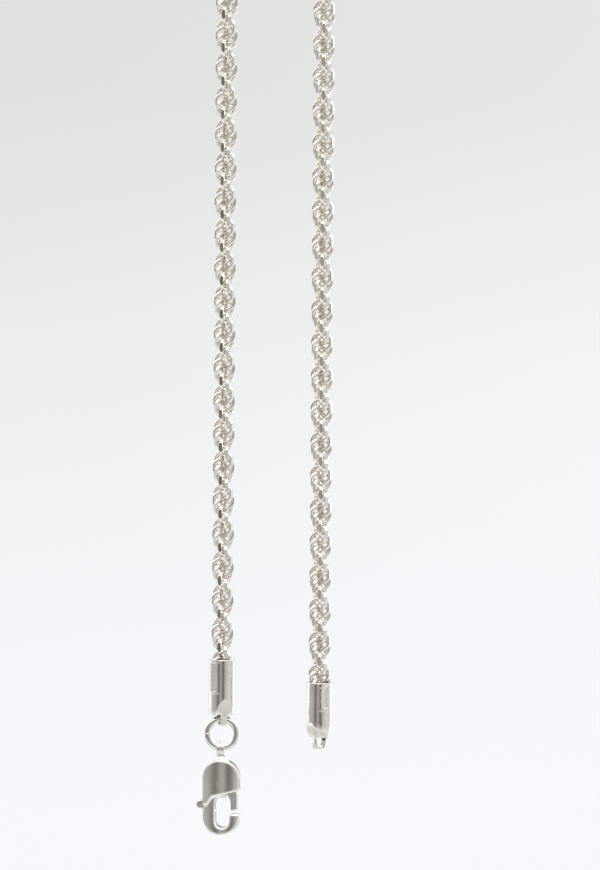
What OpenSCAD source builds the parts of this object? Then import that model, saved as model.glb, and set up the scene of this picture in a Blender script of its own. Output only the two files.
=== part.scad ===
// Chain necklace: a rope chain with a lobster clasp, hung doubled over a peg.
// Millimetres, +Z up. The origin is the point on top of the peg where the rope rests.
// The two strands hang in the XZ plane and the clasp faces -Y.

/* [Rope] */
// Thickness of the link wire, mm
link_wire = 0.345; // [0.3:0.005:0.35]
// Distance along the rope from one link to the next, mm
link_pitch = 0.7835; // [0.78:0.0005:0.79]
// Turn from one link to the next, degrees (negative is an S twist)
link_turn = -36; // [-37:0.5:-35]
// Radius of a link's round ends, to the middle of the wire, mm
link_r = 0.98; // [0.975:0.005:0.985]
// Half the length of the short straight between the round ends, mm
link_half_straight = 0.1; // [0.08:0.01:0.14]
// How far each end of a link's wire stops short of the top, degrees
link_gap = 6.5; // [6:0.5:9]
// Turn of the whole rope about itself, degrees
rope_phase = 117.5; // [0:0.5:180]
// Extra turn of each link in the bend over the peg, degrees
bend_twist = -0.95; // [-1.2:0.05:1.2]
// Extra turn of each of the right strand's first hundred links, degrees
right_twist = 0.68; // [0:0.02:0.7]

/* [Necklace] */
// Links in one flexible run of a strand
run_links = 10; // [10]
// Runs in each strand
runs = 23; // [23]
// Links in the bend over the peg
bend_links = 23; // [23]
// Extra links at the end of the right strand
right_extra_links = 3; // [0:1:4]
// Depth of the left strand's end inside its cap, mm
left_insert = 3.6; // [3.3:0.1:3.9]
// Depth of the right strand's end inside its cap, mm
right_insert = 3.3; // [3.1:0.1:3.9]

/* [End caps] */
// Outside diameter of an end cap, mm
cap_d = 3.1; // [3.06:0.02:3.2]
// Sheet thickness of an end cap, mm
cap_wall = 0.22; // [0.2:0.01:0.24]
// Overall length of an end cap, mm
cap_len = 7.8; // [7.8:0.02:7.9]
// Length of the round tube before the flattened sides start, mm
cap_tube = 4.6; // [4.4:0.1:4.6]
// Slope of each flattened side, degrees
cap_slope = 15.5; // [15:0.5:15.5]
// Length down to where the front and back walls are cut off, mm
cap_wall_len = 6.5; // [6.2:0.1:6.6]
// Width of each strap of the bail, mm
strap_w = 0.8; // [0.7:0.05:0.8]
// Turn of the left cap about its strand, degrees
cap_left_turn = -72; // [-75:1:-71]
// Turn of the right cap about its strand, degrees
cap_right_turn = 45; // [35:1:55]

/* [Jump ring] */
// Outside diameter of the jump ring, mm
ring_od = 4.2; // [4.2:0.02:4.26]
// Wire of the jump ring, mm
ring_wire = 0.8; // [0.74:0.02:0.8]
// Height of the ring's inside over the bail's floor, mm
ring_lift = 0.16; // [0.15:0.01:0.17]

/* [Clasp] */
// Width of the clasp body, mm
clasp_w = 4.44; // [4.4:0.02:4.5]
// Thickness of the clasp's shield, mm
clasp_t = 2.5; // [2.4:0.05:2.6]
// Thickness of the clasp's hook, mm
hook_t = 1.95; // [1.85:0.05:2.05]
// Width of the slot that the lever moves in, mm
slot_w = 0.86; // [0.82:0.02:0.9]
// Thickness of the lever, mm
lever_t = 0.72; // [0.66:0.02:0.74]
// Turn of the clasp about the vertical, degrees
clasp_turn = -8; // [-9:1:0]
// Diameter of the pivot pin, mm
pin_d = 0.6; // [0.56:0.02:0.62]
// Diameter of the hole in the clasp's eye, mm
eye_hole = 1.26; // [1.24:0.02:1.3]

/* [Hidden] */
$fn = 72;
e = 0.01;
silver = [0.80, 0.80, 0.82];
silver_bright = [0.88, 0.88, 0.90];
silver_dark = [0.62, 0.62, 0.65];

rope_r = link_r + link_half_straight + link_wire / 2;
bend_len = bend_links * link_pitch;
bend_r = bend_len / PI;
bend_z = rope_r - bend_r;
run_len = run_links * link_pitch;
left_end_z = bend_z - runs * run_len;
right_end_z = left_end_z - right_extra_links * link_pitch;
cap_left_z = left_end_z + left_insert;
cap_right_z = right_end_z + right_insert;

cap_r = cap_d / 2;
bail_floor = cap_len - 0.22;
ring_r = (ring_od - ring_wire) / 2;
ring_z = cap_left_z - bail_floor + ring_lift - (ring_r - ring_wire / 2);
clasp_z = ring_z - ring_r - 0.1;

body_r = clasp_w / 2;
body_top = -1.26;
body_bottom = -10.16;
pivot = [-0.1, -4.1];
hook_top = -7.65;

// ---- the rope -------------------------------------------------------------

// One link: an open ring, a little wider than it is high, with its opening at the top.
// It stands in the XZ plane.
module link() {
    for (side = [0, 1])
        mirror([side, 0, 0])
            translate([link_half_straight, 0, 0])
                rotate([90, 0, 0])
                    rotate([0, 0, -90])
                        rotate_extrude(angle = 180 - link_gap)
                            translate([link_r, 0])
                                circle(d = link_wire);
    translate([-link_half_straight, 0, -link_r])
        rotate([0, 90, 0])
            cylinder(d = link_wire, h = 2 * link_half_straight);
}

// The turn of link k about the rope, counted from the middle of the bend.
function link_angle(k) =
    rope_phase + link_turn * k
    + bend_twist * max(-bend_links / 2, min(bend_links / 2, k))
    + right_twist * max(0, min(100, -k - (bend_links - 1) / 2));

// Links k0 to k1, each with its opening turned over from the one before.
module links(k0, k1) {
    for (k = [k0:k1]) {
        u = k * link_pitch;
        over = abs(u) - bend_len / 2;
        s = sign(u);
        a = min(1, max(-1, 2 * u / bend_len)) * 90;
        translate([-bend_r * sin(a), 0, bend_z + (over > 0 ? -over : bend_r * cos(a))])
            rotate([0, -90 - a, 0])
                rotate([0, 0, link_angle(k)])
                    rotate([0, (k % 2 == 0) ? 0 : 180, 0])
                        link();
    }
}

module rope_bend()
    color(silver)
        links(-(bend_links - 1) / 2, (bend_links - 1) / 2);

// Run number i of the left (side 1) or right (side -1) strand.
module strand_run(side, i) {
    first = (bend_links + 1) / 2 + (i - 1) * run_links;
    last = first + run_links - 1 + (side < 0 && i == runs ? right_extra_links : 0);
    color(silver)
        if (side > 0) links(first, last);
        else links(-last, -first);
}

// ---- end caps -------------------------------------------------------------

// A round bar with two flattened sides that close in below the tube, shrunk by the
// sheet thickness t. The top is at z = 0 and the flattened sides face +X and -X.
module cap_form(t, top, bottom) {
    difference() {
        translate([0, 0, bottom]) cylinder(r = cap_r - t, h = top - bottom);
        for (side = [0, 180])
            rotate([0, 0, side])
                translate([cap_r - t / cos(cap_slope), 0, -cap_tube])
                    rotate([0, cap_slope, 0])
                        translate([0, -2 * cap_r, -3 * cap_len])
                            cube([2 * cap_r, 4 * cap_r, 3 * cap_len + 0.6]);
    }
}

// stamp = [turn of the stamped panel, width, height]
module end_cap(stamp) {
    difference() {
        cap_form(0, 0, -cap_len);
        cap_form(cap_wall, e, -bail_floor);
        // front and back walls stop short, which leaves two straps
        for (side = [-1, 1])
            translate([-2 * cap_r, side > 0 ? strap_w / 2 : -strap_w / 2 - 2 * cap_r, -cap_len - 1])
                cube([4 * cap_r, 2 * cap_r, cap_len - cap_wall_len + 1]);
        // stamped panel, sunk 0.05 mm, with no lettering
        rotate([0, 0, stamp[0]])
            translate([cap_r - 0.09, -stamp[1] / 2, -stamp[2] - 0.35])
                cube([1, stamp[1], stamp[2]]);
    }
}

module end_cap_left()
    color(silver_bright)
        translate([-bend_r, 0, cap_left_z])
            rotate([0, 0, cap_left_turn])
                end_cap([-130 - cap_left_turn, 1.0, 3.4]);

module end_cap_right()
    color(silver_bright)
        translate([bend_r, 0, cap_right_z])
            rotate([0, 0, cap_right_turn])
                end_cap([-62 - cap_right_turn, 0.8, 2.6]);

// ---- jump ring ------------------------------------------------------------

// A closed ring of round wire with its seam at the left.
module jump_ring()
    color(silver_bright)
        translate([-bend_r, 0, ring_z])
            rotate([90, 0, 0])
                rotate([0, 0, 180.6])
                    rotate_extrude(angle = 358.8)
                        translate([ring_r, 0])
                            circle(d = ring_wire);

// ---- clasp ----------------------------------------------------------------

// Puts a clasp piece in place. Inside, z = 0.1 is the middle of the jump ring's wire.
module at_clasp()
    translate([-bend_r, 0, clasp_z])
        rotate([0, 0, clasp_turn])
            children();

// Raises a flat outline, drawn in X and Z, to thickness t about y = 0.
module plate(t)
    rotate([90, 0, 0])
        translate([0, 0, -t / 2])
            linear_extrude(height = t)
                children();

// Space between two long cylinders, t thick in the middle and thinner at the sides.
module pillow(t, r) {
    intersection() {
        for_side(t, r, 1);
        for_side(t, r, -1);
    }
}

module for_side(t, r, side)
    translate([0, side * (r - t / 2), -12])
        cylinder(r = r, h = 13);

module body_outline(inset = 0) {
    r = body_r - inset;
    translate([0, body_top - body_r]) circle(r = r);
    translate([0, body_bottom + body_r]) circle(r = r);
    translate([-r, body_bottom + body_r]) square([2 * r, body_top - body_bottom - clasp_w]);
}

module finger_opening() {
    translate([0.2, -6.64]) circle(r = 0.9);
    translate([0.2, -8.38]) circle(r = 0.9);
    translate([-0.7, -8.38]) square([1.8, 1.74]);
}

// The upper part of the outline, ending at a sloped lower edge.
module shield_outline() {
    intersection() {
        body_outline();
        polygon([[-3, -1], [-3, -6.9], [-1.6, -6.5], [-0.98, -5.62], [1.85, -4.95], [3, -4.67], [3, -1]]);
    }
}

module hook_outline() {
    difference() {
        body_outline(0.02);
        finger_opening();
        // the mouth that the lever's gate closes
        translate([0.6, hook_top]) square([3, 2.9]);
    }
}

module clasp_body()
    color(silver_bright)
        at_clasp()
            difference() {
                union() {
                    intersection() {
                        plate(clasp_t + 1) shield_outline();
                        pillow(clasp_t, 4.6);
                    }
                    intersection() {
                        plate(hook_t + 1) hook_outline();
                        pillow(hook_t, 5.2);
                    }
                    // neck and eye
                    translate([0, 0, -1.9]) cylinder(r1 = 1.2, r2 = 0.56, h = 1.3);
                    translate([-0.5, 0, 0.02]) rotate([0, 90, 0]) cylinder(r = 0.92, h = 1);
                }
                // eye
                translate([-2, 0, 0.02]) rotate([0, 90, 0]) cylinder(d = eye_hole, h = 4);
                // slot for the lever
                translate([-3, -slot_w / 2, -7.25]) cube([6, slot_w, 3.9]);
                // pivot hole
                translate([pivot[0], 2, pivot[1]])
                    rotate([90, 0, 0])
                        cylinder(d = pin_d + 0.02, h = 4);
            }

// A bell crank on the pivot: one arm is the gate, the other carries the thumb piece.
module clasp_lever()
    color(silver_dark)
        at_clasp()
            difference() {
                union() {
                    translate([pivot[0], lever_t / 2, pivot[1]])
                        rotate([90, 0, 0])
                            cylinder(r = 0.6, h = lever_t);
                    // arm to the gate
                    plate(lever_t)
                        polygon([[-0.1, -4.5], [0.1, -3.65], [0.9, -3.75], [1.6, -4.4], [1.92, -5.3],
                                 [1.92, -7.12], [1.72, -7.22], [1.2, -7.3], [1.14, -6.1], [0.72, -5.35], [0.2, -4.75]]);
                    // arm to the thumb piece
                    plate(lever_t)
                        polygon([[-0.1, -3.7], [-0.5, -3.66], [-1.0, -4.1], [-1.62, -5.0], [-1.95, -6.1], [-2.36, -6.12],
                                 [-2.36, -7.02], [-1.78, -7.02], [-1.3, -6.0], [-0.9, -5.2], [-0.3, -4.6]]);
                    // thumb piece, wider than the arm and outside the body
                    intersection() {
                        translate([-2.4, 0.55, -6.57])
                            rotate([90, 0, 0])
                                cylinder(r = 0.5, h = 1.1);
                        translate([-3.2, -1, -7.2])
                            cube([0.88, 2, 1.3]);
                    }
                }
                translate([pivot[0], 1, pivot[1]])
                    rotate([90, 0, 0])
                        cylinder(d = pin_d + 0.08, h = 2);
            }

module clasp_pivot_pin()
    color(silver)
        at_clasp()
            translate([pivot[0], 1.1, pivot[1]])
                rotate([90, 0, 0])
                    cylinder(d = pin_d, h = 2.2);

// A hairpin of flat spring strip between the slot's roof and the lever's thumb arm.
module clasp_spring()
    color(silver_dark)
        at_clasp()
            plate(0.56) {
                translate([-1.75, -3.47]) square([0.95, 0.09]);
                translate([-0.8, -3.62])
                    intersection() {
                        difference() {
                            circle(r = 0.24);
                            circle(r = 0.15);
                        }
                        translate([0, -0.3]) square([0.4, 0.6]);
                    }
                translate([-0.8, -3.86]) rotate(14) translate([-0.75, 0]) square([0.76, 0.09]);
            }

module rope_left_01() strand_run(1, 1);
module rope_left_02() strand_run(1, 2);
module rope_left_03() strand_run(1, 3);
module rope_left_04() strand_run(1, 4);
module rope_left_05() strand_run(1, 5);
module rope_left_06() strand_run(1, 6);
module rope_left_07() strand_run(1, 7);
module rope_left_08() strand_run(1, 8);
module rope_left_09() strand_run(1, 9);
module rope_left_10() strand_run(1, 10);
module rope_left_11() strand_run(1, 11);
module rope_left_12() strand_run(1, 12);
module rope_left_13() strand_run(1, 13);
module rope_left_14() strand_run(1, 14);
module rope_left_15() strand_run(1, 15);
module rope_left_16() strand_run(1, 16);
module rope_left_17() strand_run(1, 17);
module rope_left_18() strand_run(1, 18);
module rope_left_19() strand_run(1, 19);
module rope_left_20() strand_run(1, 20);
module rope_left_21() strand_run(1, 21);
module rope_left_22() strand_run(1, 22);
module rope_left_23() strand_run(1, 23);
module rope_right_01() strand_run(-1, 1);
module rope_right_02() strand_run(-1, 2);
module rope_right_03() strand_run(-1, 3);
module rope_right_04() strand_run(-1, 4);
module rope_right_05() strand_run(-1, 5);
module rope_right_06() strand_run(-1, 6);
module rope_right_07() strand_run(-1, 7);
module rope_right_08() strand_run(-1, 8);
module rope_right_09() strand_run(-1, 9);
module rope_right_10() strand_run(-1, 10);
module rope_right_11() strand_run(-1, 11);
module rope_right_12() strand_run(-1, 12);
module rope_right_13() strand_run(-1, 13);
module rope_right_14() strand_run(-1, 14);
module rope_right_15() strand_run(-1, 15);
module rope_right_16() strand_run(-1, 16);
module rope_right_17() strand_run(-1, 17);
module rope_right_18() strand_run(-1, 18);
module rope_right_19() strand_run(-1, 19);
module rope_right_20() strand_run(-1, 20);
module rope_right_21() strand_run(-1, 21);
module rope_right_22() strand_run(-1, 22);
module rope_right_23() strand_run(-1, 23);

rope_bend();
rope_left_01();
rope_left_02();
rope_left_03();
rope_left_04();
rope_left_05();
rope_left_06();
rope_left_07();
rope_left_08();
rope_left_09();
rope_left_10();
rope_left_11();
rope_left_12();
rope_left_13();
rope_left_14();
rope_left_15();
rope_left_16();
rope_left_17();
rope_left_18();
rope_left_19();
rope_left_20();
rope_left_21();
rope_left_22();
rope_left_23();
rope_right_01();
rope_right_02();
rope_right_03();
rope_right_04();
rope_right_05();
rope_right_06();
rope_right_07();
rope_right_08();
rope_right_09();
rope_right_10();
rope_right_11();
rope_right_12();
rope_right_13();
rope_right_14();
rope_right_15();
rope_right_16();
rope_right_17();
rope_right_18();
rope_right_19();
rope_right_20();
rope_right_21();
rope_right_22();
rope_right_23();
end_cap_left();
end_cap_right();
jump_ring();
clasp_body();
clasp_lever();
clasp_pivot_pin();
clasp_spring();
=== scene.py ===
import math

import bmesh
import bpy
from mathutils import Matrix, Vector


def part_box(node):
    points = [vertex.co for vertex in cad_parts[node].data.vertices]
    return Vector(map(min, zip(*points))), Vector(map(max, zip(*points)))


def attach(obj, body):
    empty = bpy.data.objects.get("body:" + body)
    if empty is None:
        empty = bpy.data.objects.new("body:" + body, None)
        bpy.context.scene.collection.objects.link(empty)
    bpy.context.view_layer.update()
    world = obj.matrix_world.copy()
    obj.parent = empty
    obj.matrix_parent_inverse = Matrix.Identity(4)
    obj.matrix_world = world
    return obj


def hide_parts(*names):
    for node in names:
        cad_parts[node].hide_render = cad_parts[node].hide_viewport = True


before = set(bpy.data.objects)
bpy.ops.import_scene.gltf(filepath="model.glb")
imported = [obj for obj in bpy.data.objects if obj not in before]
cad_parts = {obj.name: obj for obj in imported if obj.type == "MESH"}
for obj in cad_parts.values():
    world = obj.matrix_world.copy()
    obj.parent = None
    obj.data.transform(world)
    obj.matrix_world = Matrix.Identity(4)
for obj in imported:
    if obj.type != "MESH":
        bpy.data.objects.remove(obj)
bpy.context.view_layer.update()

MM = 0.001
scene = bpy.context.scene
scene.view_settings.view_transform = "Standard"

# ---------------------------------------------------------------- the rope's own numbers, mm
PITCH = 0.7835
TURN = -36.0
PHASE = 117.5
BEND_TWIST = -0.95
BEND_LINKS = 23
BEND_LEN = BEND_LINKS * PITCH
BEND_R = BEND_LEN / math.pi
BEND_Z = 1.2525 - BEND_R
RUN_LEN = 10 * PITCH
LEFT_END = BEND_Z - 23 * RUN_LEN
RIGHT_END = LEFT_END - 3 * PITCH
CAP_LEFT_Z = LEFT_END + 3.6
CAP_RIGHT_Z = RIGHT_END + 3.3
RING_R, RING_WIRE = 1.7, 0.8
RING_Z = CAP_LEFT_Z - 7.58 + 0.16 - (RING_R - RING_WIRE / 2)


# ---------------------------------------------------------------- camera
def make_camera():
    cam = bpy.data.objects.new("camera", bpy.data.cameras.new("camera"))
    scene.collection.objects.link(cam)
    dist = 0.42
    half = 870 * 0.1179 * MM / 2
    cam.data.sensor_width = 36
    cam.data.lens = 18 * dist / half
    cam.data.clip_start, cam.data.clip_end = 0.01, 20
    roll = math.radians(0.40)
    s, c = math.sin(roll), math.cos(roll)
    cam.matrix_world = Matrix((
        (c, -s, 0, 0.00325),
        (0, 0, -1, -dist),
        (s, c, 0, -0.15457),
        (0, 0, 0, 1),
    ))
    scene.camera = cam


make_camera()


# ---------------------------------------------------------------- node helpers
class Nodes:
    def __init__(self, tree):
        self.t = tree
        tree.nodes.clear()

    def new(self, kind, **props):
        n = self.t.nodes.new(kind)
        ins = props.pop("ins", {})
        for k, v in props.items():
            setattr(n, k, v)
        for k, v in ins.items():
            if isinstance(v, bpy.types.NodeSocket):
                self.t.links.new(v, n.inputs[k])
            else:
                n.inputs[k].default_value = v
        return n

    def math(self, op, a, b=None, clamp=False):
        n = self.new("ShaderNodeMath", operation=op, use_clamp=clamp)
        for i, v in enumerate((a, b)):
            if v is None:
                continue
            if isinstance(v, bpy.types.NodeSocket):
                self.t.links.new(v, n.inputs[i])
            else:
                n.inputs[i].default_value = v
        return n.outputs[0]

    def ramp(self, fac, stops, interp="LINEAR"):
        n = self.new("ShaderNodeValToRGB", ins={"Fac": fac})
        r = n.color_ramp
        r.interpolation = interp
        while len(r.elements) > 1:
            r.elements.remove(r.elements[-1])
        for i, (p, col) in enumerate(stops):
            e = r.elements[0] if i == 0 else r.elements.new(p)
            e.position = p
            e.color = (*col, 1) if hasattr(col, "__len__") else (col, col, col, 1)
        return n.outputs["Color"]

    def mix(self, fac, a, b, blend="MIX"):
        n = self.new("ShaderNodeMix", data_type="RGBA", blend_type=blend)
        for sock, v in ((n.inputs[0], fac), (n.inputs[6], a), (n.inputs[7], b)):
            if isinstance(v, bpy.types.NodeSocket):
                self.t.links.new(v, sock)
            elif hasattr(v, "__len__"):
                sock.default_value = (*v, 1)
            else:
                sock.default_value = v
        return n.outputs[2]


# ---------------------------------------------------------------- studio
def env_ramp(g, azimuth, stops):
    pts = sorted(((a + 180) / 360, v) for a, v in stops)
    return g.ramp(azimuth, pts, "EASE")


def make_world():
    w = bpy.data.worlds.new("studio")
    scene.world = w
    w.use_nodes = True
    g = Nodes(w.node_tree)
    tc = g.new("ShaderNodeTexCoord")
    sep = g.new("ShaderNodeSeparateXYZ", ins={0: tc.outputs["Generated"]})
    x, y, z = sep.outputs
    az = g.math("ARCTAN2", x, g.math("MULTIPLY", y, -1.0))
    pos = g.math("ADD", g.math("DIVIDE", az, 2 * math.pi), 0.5)
    warm, dark = (1.0, 0.985, 0.955), (1.0, 0.97, 0.92)
    # what stands round the necklace at its own height: soft boxes at both sides, the dark room in front
    level = [
        (-180, 0.42), (-170, 0.28), (-160, 0.62), (-150, 0.86), (-130, 0.80), (-113, 0.74), (-98, 0.62), (-86, 0.52), (-74, 0.46),
        (-60, 0.43), (-50, 0.38), (-40, 0.24), (-33, 0.15), (-26, 0.20), (-17, 0.38), (-8, 0.43), (-2, 0.34), (3, 0.18),
        (10, 0.13), (16, 0.20), (24, 0.38), (34, 0.54), (50, 0.60), (70, 0.72), (88, 0.68), (104, 0.76), (118, 1.0),
        (140, 1.08), (155, 0.95), (166, 0.40), (174, 0.30), (180, 0.42),
    ]
    side = env_ramp(g, pos, [(a, tuple(v * t for t in (warm if v > 0.4 else dark))) for a, v in level])
    # above: a bright sheet with a darker gap behind it; below: the pale table
    up = g.ramp(g.math("ABSOLUTE", z), [(0.0, 0.0), (0.24, 0.0), (0.50, 1.0), (1.0, 1.0)], "EASE")
    top = g.ramp(g.math("ADD", g.math("MULTIPLY", z, 0.5), 0.5),
                 [(0.0, 0.95), (0.12, 0.90), (0.20, 0.62), (0.30, 0.88), (0.5, 0.9), (0.68, 1.12), (0.76, 0.75), (0.84, 1.25), (1.0, 1.35)], "EASE")
    col = g.mix(up, side, top)
    bg = g.new("ShaderNodeBackground", ins={"Color": col, "Strength": 1.0})
    out = g.new("ShaderNodeOutputWorld")
    w.node_tree.links.new(bg.outputs[0], out.inputs[0])


def make_stage():
    """A pale table that runs up into the wall behind in one curve, all the way round."""
    profile = [(0.0, -0.30), (0.5, -0.30), (0.9, -0.30)]
    for i in range(1, 13):
        a = math.radians(90 * i / 12)
        profile.append((0.9 + 0.8 * math.sin(a), -0.30 + 0.8 * (1 - math.cos(a))))
    profile += [(1.7, 1.2)]
    for i in range(1, 9):
        a = math.radians(90 * i / 8)
        profile.append((1.7 * math.cos(a), 1.2 + 1.2 * math.sin(a)))
    n = 96
    bm = bmesh.new()
    rings = []
    for r, z in profile:
        if r < 1e-6:
            rings.append([bm.verts.new((0, 0, z))])
        else:
            rings.append([bm.verts.new((r * math.cos(2 * math.pi * k / n), r * math.sin(2 * math.pi * k / n), z)) for k in range(n)])
    for a, b in zip(rings, rings[1:]):
        for k in range(n):
            k2 = (k + 1) % n
            if len(a) == 1:
                bm.faces.new((a[0], b[k], b[k2]))
            elif len(b) == 1:
                bm.faces.new((a[k], b[0], a[k2]))
            else:
                bm.faces.new((a[k], b[k], b[k2], a[k2]))
    me = bpy.data.meshes.new("studio_sweep")
    bm.to_mesh(me)
    bm.free()
    me.polygons.foreach_set("use_smooth", [True] * len(me.polygons))
    o = bpy.data.objects.new("studio_sweep", me)
    scene.collection.objects.link(o)
    m = bpy.data.materials.new("pale_backdrop_painted_glow")
    m.use_nodes = True
    g = Nodes(m.node_tree)
    geo = g.new("ShaderNodeNewGeometry")
    sep = g.new("ShaderNodeSeparateXYZ", ins={0: geo.outputs["Position"]})
    x, y, z = sep.outputs
    # painted shade: the sheet is painted a little darker and greyer upwards, as the light falls off up the wall
    h = g.math("MULTIPLY", g.math("ADD", z, 0.30), 1.35, clamp=True)
    col = g.ramp(h, [(0.0, (0.925, 0.935, 0.965)), (0.07, (0.915, 0.925, 0.955)), (0.25, (0.875, 0.888, 0.888)),
                     (0.45, (0.775, 0.79, 0.775)), (1.0, (0.72, 0.73, 0.72))], "LINEAR")
    # painted light: the wall is painted brighter towards +x and darker towards -x; near the floor it stays almost even
    left = g.ramp(g.math("ADD", g.math("MULTIPLY", x, 1.6), 0.5, clamp=True), [(0.0, 0.945), (0.35, 0.975), (0.75, 1.03), (1.0, 1.075)])
    left = g.mix(g.ramp(h, [(0.0, 0.9), (0.12, 0.4), (0.3, 0.0)]), left, (1.015, 1.015, 1.015))
    col = g.mix(1.0, col, left, "MULTIPLY")
    noise = g.new("ShaderNodeTexNoise", ins={"Scale": 2.2, "Detail": 2.0, "Vector": geo.outputs["Position"]})
    col = g.mix(0.06, col, g.ramp(noise.outputs[0], [(0.3, 0.80), (0.7, 1.0)]), "MULTIPLY")
    # painted light: the sheet glows by emission at the painted brightness worked out above, instead of being lit
    em = g.new("ShaderNodeEmission", ins={"Color": col, "Strength": 1.0})
    out = g.new("ShaderNodeOutputMaterial")
    m.node_tree.links.new(em.outputs[0], out.inputs[0])
    me.materials.append(m)
    o.visible_diffuse = o.visible_glossy = o.visible_transmission = o.visible_shadow = o.visible_volume_scatter = False


def make_lights():
    for name, loc, size, power, rx in (
        ("soft_left", (-0.55, 0.40, -0.02), (0.35, 0.9), 0.8, None),
        ("soft_right", (0.52, 0.50, 0.00), (0.35, 0.9), 1.1, None),
        ("soft_top", (0.05, -0.25, 0.50), (0.6, 0.4), 2.0, None),
    ):
        d = bpy.data.lights.new(name, "AREA")
        d.shape = "RECTANGLE"
        d.size, d.size_y = size
        d.energy = power
        d.color = (1.0, 0.985, 0.96)
        o = bpy.data.objects.new(name, d)
        scene.collection.objects.link(o)
        o.location = loc
        aim = Vector((0, 0, -0.14)) - Vector(loc)
        o.rotation_mode = "QUATERNION"
        o.rotation_quaternion = aim.to_track_quat("-Z", "Y")


make_world()
make_stage()
make_lights()


# ---------------------------------------------------------------- silver
def silver(name, tint=(0.95, 0.93, 0.88), shade=(0.83, 0.80, 0.74), rough=(0.10, 0.22), bump=0.25, core_painted_shade=False,
           stretch=(1, 1, 1), extra=None, grain=1.0, edge=0.0):
    """Polished silver: patches a little warmer and duller, fine polishing lines, and, where asked, painted shade:
    darker and warmer towards the rope's core.
    """
    m = bpy.data.materials.new(name)
    m.use_nodes = True
    g = Nodes(m.node_tree)
    tc = g.new("ShaderNodeTexCoord")
    patch = g.new("ShaderNodeTexNoise", ins={"Vector": tc.outputs["Object"], "Scale": 650.0, "Detail": 4.0, "Roughness": 0.6})
    mp = g.new("ShaderNodeMapping", ins={"Vector": tc.outputs["Object"], "Scale": stretch})
    lines = g.new("ShaderNodeTexNoise", ins={"Vector": mp.outputs[0], "Scale": 5200.0 * grain, "Detail": 3.0, "Roughness": 0.65})
    pits = g.new("ShaderNodeTexVoronoi", ins={"Vector": tc.outputs["Object"], "Scale": 2600.0})
    col = g.mix(g.ramp(patch.outputs[0], [(0.38, 0.0), (0.68, 1.0)]), tint, shade)
    rgh = g.math("ADD", g.math("MULTIPLY", lines.outputs[0], rough[1] - rough[0]), rough[0])
    if core_painted_shade:
        # painted shade: links coloured darker and warmer towards the rope's core, where little light reaches between
        # them, mottled by the patch noise; also rougher there
        at = g.new("ShaderNodeAttribute", attribute_name="core_painted_shade")
        deep = g.ramp(at.outputs["Fac"], [(0.0, 0.0), (0.35, 0.15), (0.8, 0.85), (1.0, 1.0)])
        painted_shade_blot = g.mix(1.0, deep, g.ramp(patch.outputs[0], [(0.3, 0.55), (0.6, 1.0)]), "MULTIPLY")
        col = g.mix(painted_shade_blot, col, (0.80, 0.755, 0.67))
        rgh = g.math("ADD", rgh, g.math("MULTIPLY", painted_shade_blot, 0.16))
    height = g.math("ADD", g.math("MULTIPLY", lines.outputs[0], 0.6), g.math("MULTIPLY", patch.outputs[0], 1.2))
    pit = g.ramp(pits.outputs[0], [(0.0, 0.0), (0.06, 1.0), (1.0, 1.0)])
    height = g.math("ADD", height, g.math("MULTIPLY", pit, 0.35))
    if extra:
        height, col, rgh = extra(g, tc, height, col, rgh)
    b = g.new("ShaderNodeBump", ins={"Height": height, "Strength": bump, "Distance": 1.2e-5})
    if edge:
        # edges worn round by tumbling
        worn = g.new("ShaderNodeBevel")
        worn.samples = 8
        worn.inputs["Radius"].default_value = edge
        m.node_tree.links.new(worn.outputs[0], b.inputs["Normal"])
    p = g.new("ShaderNodeBsdfPrincipled", ins={"Base Color": col, "Roughness": rgh, "Normal": b.outputs[0]})
    p.inputs["Metallic"].default_value = 1.0
    out = g.new("ShaderNodeOutputMaterial")
    m.node_tree.links.new(p.outputs[0], out.inputs[0])
    return m


rope_mat = silver("rope_silver_wire", tint=(0.965, 0.94, 0.885), shade=(0.91, 0.875, 0.805), rough=(0.16, 0.28), bump=0.12, core_painted_shade=True)
cut_mat = silver("rope_silver_cut", tint=(0.93, 0.925, 0.90), shade=(0.86, 0.85, 0.82), rough=(0.03, 0.07), bump=0.08)


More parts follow.
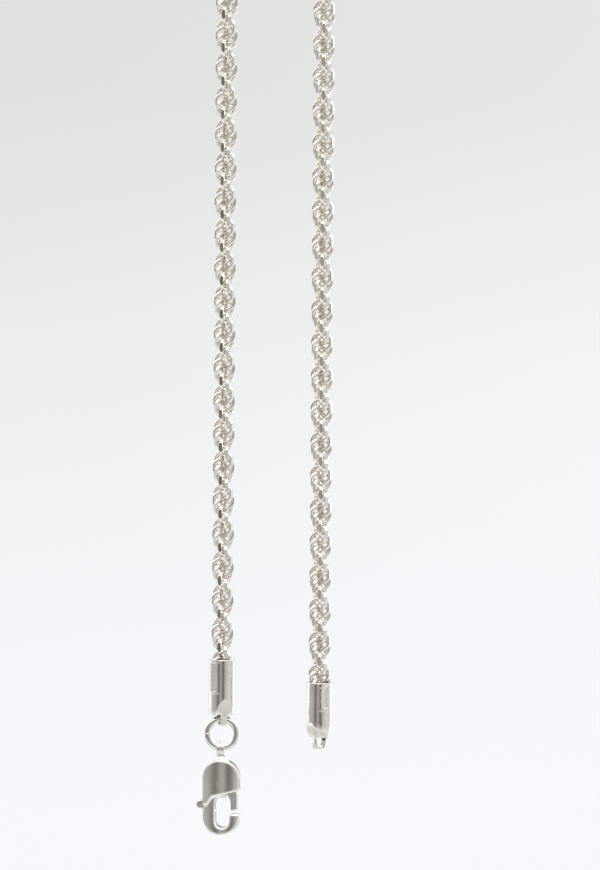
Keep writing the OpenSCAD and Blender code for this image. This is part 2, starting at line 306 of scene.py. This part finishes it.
def stamp(cx, az0, az1, z0, z1, rows):
    """A stamped panel with no lettering: a sunk outline and a few blurred ridges inside it. Angles in degrees from the
    front about the cap's axis, heights in mm."""
    def extra(g, tc, height, col, rgh):
        sep = g.new("ShaderNodeSeparateXYZ", ins={0: tc.outputs["Object"]})
        x = g.math("SUBTRACT", sep.outputs[0], cx * MM)
        az = g.math("ARCTAN2", x, g.math("MULTIPLY", sep.outputs[1], -1.0))
        u = g.math("DIVIDE", g.math("SUBTRACT", az, math.radians(az0)), math.radians(az1 - az0))
        v = g.math("DIVIDE", g.math("SUBTRACT", sep.outputs[2], z0 * MM), (z1 - z0) * MM)
        # distance to the nearest side of the panel, mm
        w, h = math.radians(az1 - az0) * 1.55, z1 - z0
        du = g.math("MULTIPLY", g.math("MINIMUM", u, g.math("SUBTRACT", 1.0, u)), w)
        dv = g.math("MULTIPLY", g.math("MINIMUM", v, g.math("SUBTRACT", 1.0, v)), h)
        d = g.math("MINIMUM", du, dv)
        inside = g.ramp(g.math("ADD", g.math("MULTIPLY", d, 1.0), 0.5), [(0.0, 0.0), (0.47, 0.0), (0.53, 1.0), (1.0, 1.0)])
        line = g.ramp(g.math("ABSOLUTE", g.math("SUBTRACT", d, 0.06)), [(0.0, 1.0), (0.04, 0.8), (0.09, 0.0), (1.0, 0.0)])
        ridge = g.math("MULTIPLY", g.math("SINE", g.math("MULTIPLY", v, 2 * math.pi * rows)), 0.5)
        side = g.ramp(g.math("ABSOLUTE", g.math("SUBTRACT", u, 0.5)), [(0.0, 1.0), (0.18, 1.0), (0.30, 0.0), (1.0, 0.0)])
        pressed = g.math("MULTIPLY", g.math("MULTIPLY", side, inside), g.math("ADD", ridge, 0.5))
        height = g.math("SUBTRACT", height, g.math("MULTIPLY", line, 5.0))
        height = g.math("SUBTRACT", height, g.math("MULTIPLY", pressed, 2.4))
        # painted highlight: the sunk outline is coloured paler, as if its edge caught the light
        col = g.mix(g.math("MULTIPLY", line, 0.5), col, (0.97, 0.96, 0.93))
        return height, col, rgh
    return extra


cap_left_mat = silver("cap_silver_left", rough=(0.10, 0.18), bump=0.35, stretch=(1, 1, 0.08),
                      extra=stamp(-BEND_R, -66, -6, CAP_LEFT_Z - 4.0, CAP_LEFT_Z - 0.25, 5))
cap_right_mat = silver("cap_silver_right", rough=(0.10, 0.18), bump=0.35, stretch=(1, 1, 0.08),
                       extra=stamp(BEND_R, -2, 34, CAP_RIGHT_Z - 3.3, CAP_RIGHT_Z - 0.5, 3))
ring_mat = silver("ring_silver_wire", rough=(0.06, 0.14), bump=0.15)
clasp_mat = silver("clasp_silver_cast", tint=(0.95, 0.935, 0.885), shade=(0.87, 0.845, 0.785), rough=(0.14, 0.26), bump=0.30, stretch=(1, 1, 0.10), edge=0.00042)
lever_mat = silver("lever_silver_cast", tint=(0.92, 0.90, 0.86), shade=(0.80, 0.77, 0.72), rough=(0.16, 0.28), bump=0.35, edge=0.00025)
pin_mat = silver("pin_silver", tint=(0.88, 0.86, 0.83), rough=(0.12, 0.24))
spring_mat = silver("spring_steel_strip", tint=(0.62, 0.62, 0.63), shade=(0.50, 0.50, 0.51), rough=(0.18, 0.32), stretch=(1, 0.05, 1))


def link_object(name, me, body, nodes):
    o = bpy.data.objects.new(name, me)
    scene.collection.objects.link(o)
    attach(o, body)
    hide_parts(*nodes)
    return o


# ---------------------------------------------------------------- wire
def wire(bm, path, r, seg, flat_end=0.25):
    """A round wire swept along points in the XZ plane, with softly rounded cut ends. Millimetres."""
    pts = [Vector(p) for p in path]
    n = len(pts)
    tangents = [(pts[min(i + 1, n - 1)] - pts[max(i - 1, 0)]).normalized() for i in range(n)]
    stations = [(pts[0] - tangents[0] * r * flat_end, tangents[0], 0.72), (pts[0] - tangents[0] * r * flat_end * 0.45, tangents[0], 0.93)]
    stations += [(p, t, 1.0) for p, t in zip(pts, tangents)]
    stations += [(pts[-1] + tangents[-1] * r * flat_end * 0.45, tangents[-1], 0.93), (pts[-1] + tangents[-1] * r * flat_end, tangents[-1], 0.72)]
    rings = []
    yv = Vector((0, 1, 0))
    for p, t, k in stations:
        nv = t.cross(yv).normalized()
        rings.append([bm.verts.new(p + (nv * math.cos(2 * math.pi * j / seg) + yv * math.sin(2 * math.pi * j / seg)) * r * k) for j in range(seg)])
    for a, b in zip(rings, rings[1:]):
        for j in range(seg):
            j2 = (j + 1) % seg
            bm.faces.new((a[j], a[j2], b[j2], b[j]))
    bm.faces.new(rings[0][::-1])
    bm.faces.new(rings[-1])


# ---------------------------------------------------------------- the rope: every link, with its cut flats
LINK_R, LINK_HS, LINK_GAP, LINK_WIRE, CUT = 0.98, 0.185, 2.0, 0.47, 1.25


def link_mesh():
    path = []
    n = 19
    for i in range(n):
        a = math.radians(90 + LINK_GAP + (180 - LINK_GAP) * i / (n - 1))
        path.append((-LINK_HS + LINK_R * math.cos(a), 0, LINK_R * math.sin(a)))
    for i in range(n):
        a = math.radians(270 + (180 - LINK_GAP) * i / (n - 1))
        path.append((LINK_HS + LINK_R * math.cos(a), 0, LINK_R * math.sin(a)))
    bm = bmesh.new()
    wire(bm, path, LINK_WIRE / 2, 12)
    bmesh.ops.recalc_face_normals(bm, faces=bm.faces)
    for f in bm.faces:
        f.smooth = True
    for s in (-1, 1):
        cut = bmesh.ops.bisect_plane(bm, geom=bm.verts[:] + bm.edges[:] + bm.faces[:], dist=1e-5,
                                     plane_co=(s * CUT, 0, 0), plane_no=(s, 0, 0), clear_outer=True)
        edges = [g for g in cut["geom_cut"] if isinstance(g, bmesh.types.BMEdge)]
        made = bmesh.ops.contextual_create(bm, geom=edges)["faces"]
        for f in made:
            f.material_index = 1
            f.smooth = False
            if f.normal.x * s < 0:
                f.normal_flip()
        for ed in edges:
            ed.smooth = False
    # how near each point lies to the rope's core, 0 to 1, for the painted shade there
    lay = bm.verts.layers.float.new("core_painted_shade")
    for v in bm.verts:
        d = math.hypot(v.co.x, v.co.y)
        v[lay] = max(0.0, min(1.0, (1.12 - d) / 0.85))
    me = bpy.data.meshes.new("link")
    bm.to_mesh(me)
    bm.free()
    return me


LINK = link_mesh()


def wobble(k, i):
    """A fixed small number from -1 to 1 for link k, since the links are set one by one."""
    v = math.sin(k * 12.9898 + i * 78.233) * 43758.5453
    return 2 * (v - math.floor(v)) - 1


def link_matrix(k):
    u = k * PITCH
    over = abs(u) - BEND_LEN / 2
    a = max(-1, min(1, 2 * u / BEND_LEN)) * 90
    ang = PHASE + TURN * k + BEND_TWIST * max(-BEND_LINKS / 2, min(BEND_LINKS / 2, k)) + 0.68 * max(0, min(100, -k - 11))
    m = Matrix.Translation((-BEND_R * math.sin(math.radians(a)), 0, BEND_Z + (-over if over > 0 else BEND_R * math.cos(math.radians(a)))))
    m = m @ Matrix.Rotation(math.radians(-90 - a), 4, "Y")
    m = m @ Matrix.Translation((0, 0, 0.018 * wobble(k, 1)))
    m = m @ Matrix.Rotation(math.radians(ang + 1.3 * wobble(k, 2)), 4, "Z")
    m = m @ Matrix.Rotation(math.radians(0.8 * wobble(k, 3)), 4, "X")
    if k % 2:
        m = m @ Matrix.Rotation(math.pi, 4, "Y")
    return Matrix.Scale(MM, 4) @ m


def rope_piece(name, k0, k1, body, node):
    bm = bmesh.new()
    for k in range(k0, k1 + 1):
        start = len(bm.verts)
        bm.from_mesh(LINK)
        bm.verts.ensure_lookup_table()
        m = link_matrix(k)
        for v in bm.verts[start:]:
            v.co = m @ v.co
    me = bpy.data.meshes.new(name)
    bm.to_mesh(me)
    bm.free()
    me.materials.append(rope_mat)
    me.materials.append(cut_mat)
    return link_object(name, me, body, [node])


rope_piece("rope_bend_links", -11, 11, "bend", "rope_bend")
for i in range(1, 24):
    first = 12 + (i - 1) * 10
    rope_piece("rope_left_%02d_links" % i, first, first + 9, "left_run_%02d" % i, "rope_left_%02d" % i)
    last = first + 9 + (3 if i == 23 else 0)
    rope_piece("rope_right_%02d_links" % i, -last, -first, "right_run_%02d" % i, "rope_right_%02d" % i)


# ---------------------------------------------------------------- jump ring
def make_ring():
    bm = bmesh.new()
    n = 120
    gap = 0.8
    path = []
    for i in range(n):
        a = math.radians(180 + gap + (360 - 2 * gap) * i / (n - 1))
        path.append((RING_R * math.cos(a), 0, RING_R * math.sin(a)))
    wire(bm, path, RING_WIRE / 2, 36, flat_end=0.05)
    bmesh.ops.recalc_face_normals(bm, faces=bm.faces)
    for f in bm.faces:
        f.smooth = len(f.verts) == 4
    bmesh.ops.transform(bm, verts=bm.verts, matrix=Matrix.Scale(MM, 4) @ Matrix.Translation((-BEND_R, 0, RING_Z)))
    me = bpy.data.meshes.new("jump_ring_wire")
    bm.to_mesh(me)
    bm.free()
    me.materials.append(ring_mat)
    link_object("jump_ring_wire", me, "ring", ["jump_ring"])


make_ring()


# ---------------------------------------------------------------- cast and pressed pieces, softened from the CAD's own form
def softened(name, node, body, mat, voxel, rounds, plug=None, close=None):
    """The CAD node's form with its edges rounded as casting and polishing leave them: remeshed fine, then smoothed."""
    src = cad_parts[node]
    bm = bmesh.new()
    bm.from_mesh(src.data)
    bmesh.ops.remove_doubles(bm, verts=bm.verts, dist=1e-7)
    bmesh.ops.scale(bm, vec=(1000, 1000, 1000), verts=bm.verts)
    if close:
        # rounded off towards the closed end; the bail in the middle stays as it is
        cx, z_hi, z_lo, pull = close
        bmesh.ops.subdivide_edges(bm, edges=[e for e in bm.edges if e.calc_length() > 0.6], cuts=8, use_grid_fill=True)
        for v in bm.verts:
            dx, dy = v.co.x - cx, v.co.y
            rad = math.hypot(dx, dy)
            t = min(1.0, max(0.0, (z_hi - v.co.z) / (z_hi - z_lo)))
            if rad > 0.9 and t > 0:
                k = (rad - (rad - 0.9) * pull * t * t) / rad
                v.co.x, v.co.y = cx + dx * k, dy * k
    if plug:
        # the rivet's ends, filed flush with the face
        lo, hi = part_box(plug)
        c = (lo + hi) * 500
        ax = Matrix.Translation(c) @ Matrix.Rotation(math.radians(-8), 4, "Z") @ Matrix.Rotation(math.radians(90), 4, "X")
        bmesh.ops.create_cone(bm, cap_ends=True, segments=48, radius1=0.34, radius2=0.34, depth=2.47, matrix=ax)
    me = bpy.data.meshes.new(name + "_raw")
    bm.to_mesh(me)
    bm.free()
    me.materials.clear()
    tmp = bpy.data.objects.new(name + "_raw", me)
    scene.collection.objects.link(tmp)
    r = tmp.modifiers.new("r", "REMESH")
    r.mode = "VOXEL"
    r.voxel_size = voxel
    r.use_smooth_shade = True
    s = tmp.modifiers.new("s", "SMOOTH")
    s.factor = 0.5
    s.iterations = rounds
    bpy.context.view_layer.update()
    dg = bpy.context.evaluated_depsgraph_get()
    out = bpy.data.meshes.new_from_object(tmp.evaluated_get(dg))
    out.name = name
    bpy.data.objects.remove(tmp)
    out.transform(Matrix.Scale(MM, 4))
    out.polygons.foreach_set("use_smooth", [True] * len(out.polygons))
    out.materials.clear()
    out.materials.append(mat)
    return link_object(name, out, body, [node])


softened("clasp_body_cast", "clasp_body", "clasp", clasp_mat, 0.045, 40, plug="clasp_pivot_pin")
softened("clasp_lever_cast", "clasp_lever", "lever", lever_mat, 0.04, 14)
softened("end_cap_left_sheet", "end_cap_left", "left_run_23", cap_left_mat, 0.05, 14,
         close=(-BEND_R, CAP_LEFT_Z - 5.8, CAP_LEFT_Z - 6.9, 0.50))
softened("end_cap_right_sheet", "end_cap_right", "right_run_23", cap_right_mat, 0.05, 14,
         close=(BEND_R, CAP_RIGHT_Z - 4.6, CAP_RIGHT_Z - 6.8, 0.80))


def keep(node, mat):
    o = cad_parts[node]
    if not o.material_slots:
        o.data.materials.append(mat)
    for sl in o.material_slots:
        sl.material = mat


keep("clasp_pivot_pin", pin_mat)
keep("clasp_spring", spring_mat)
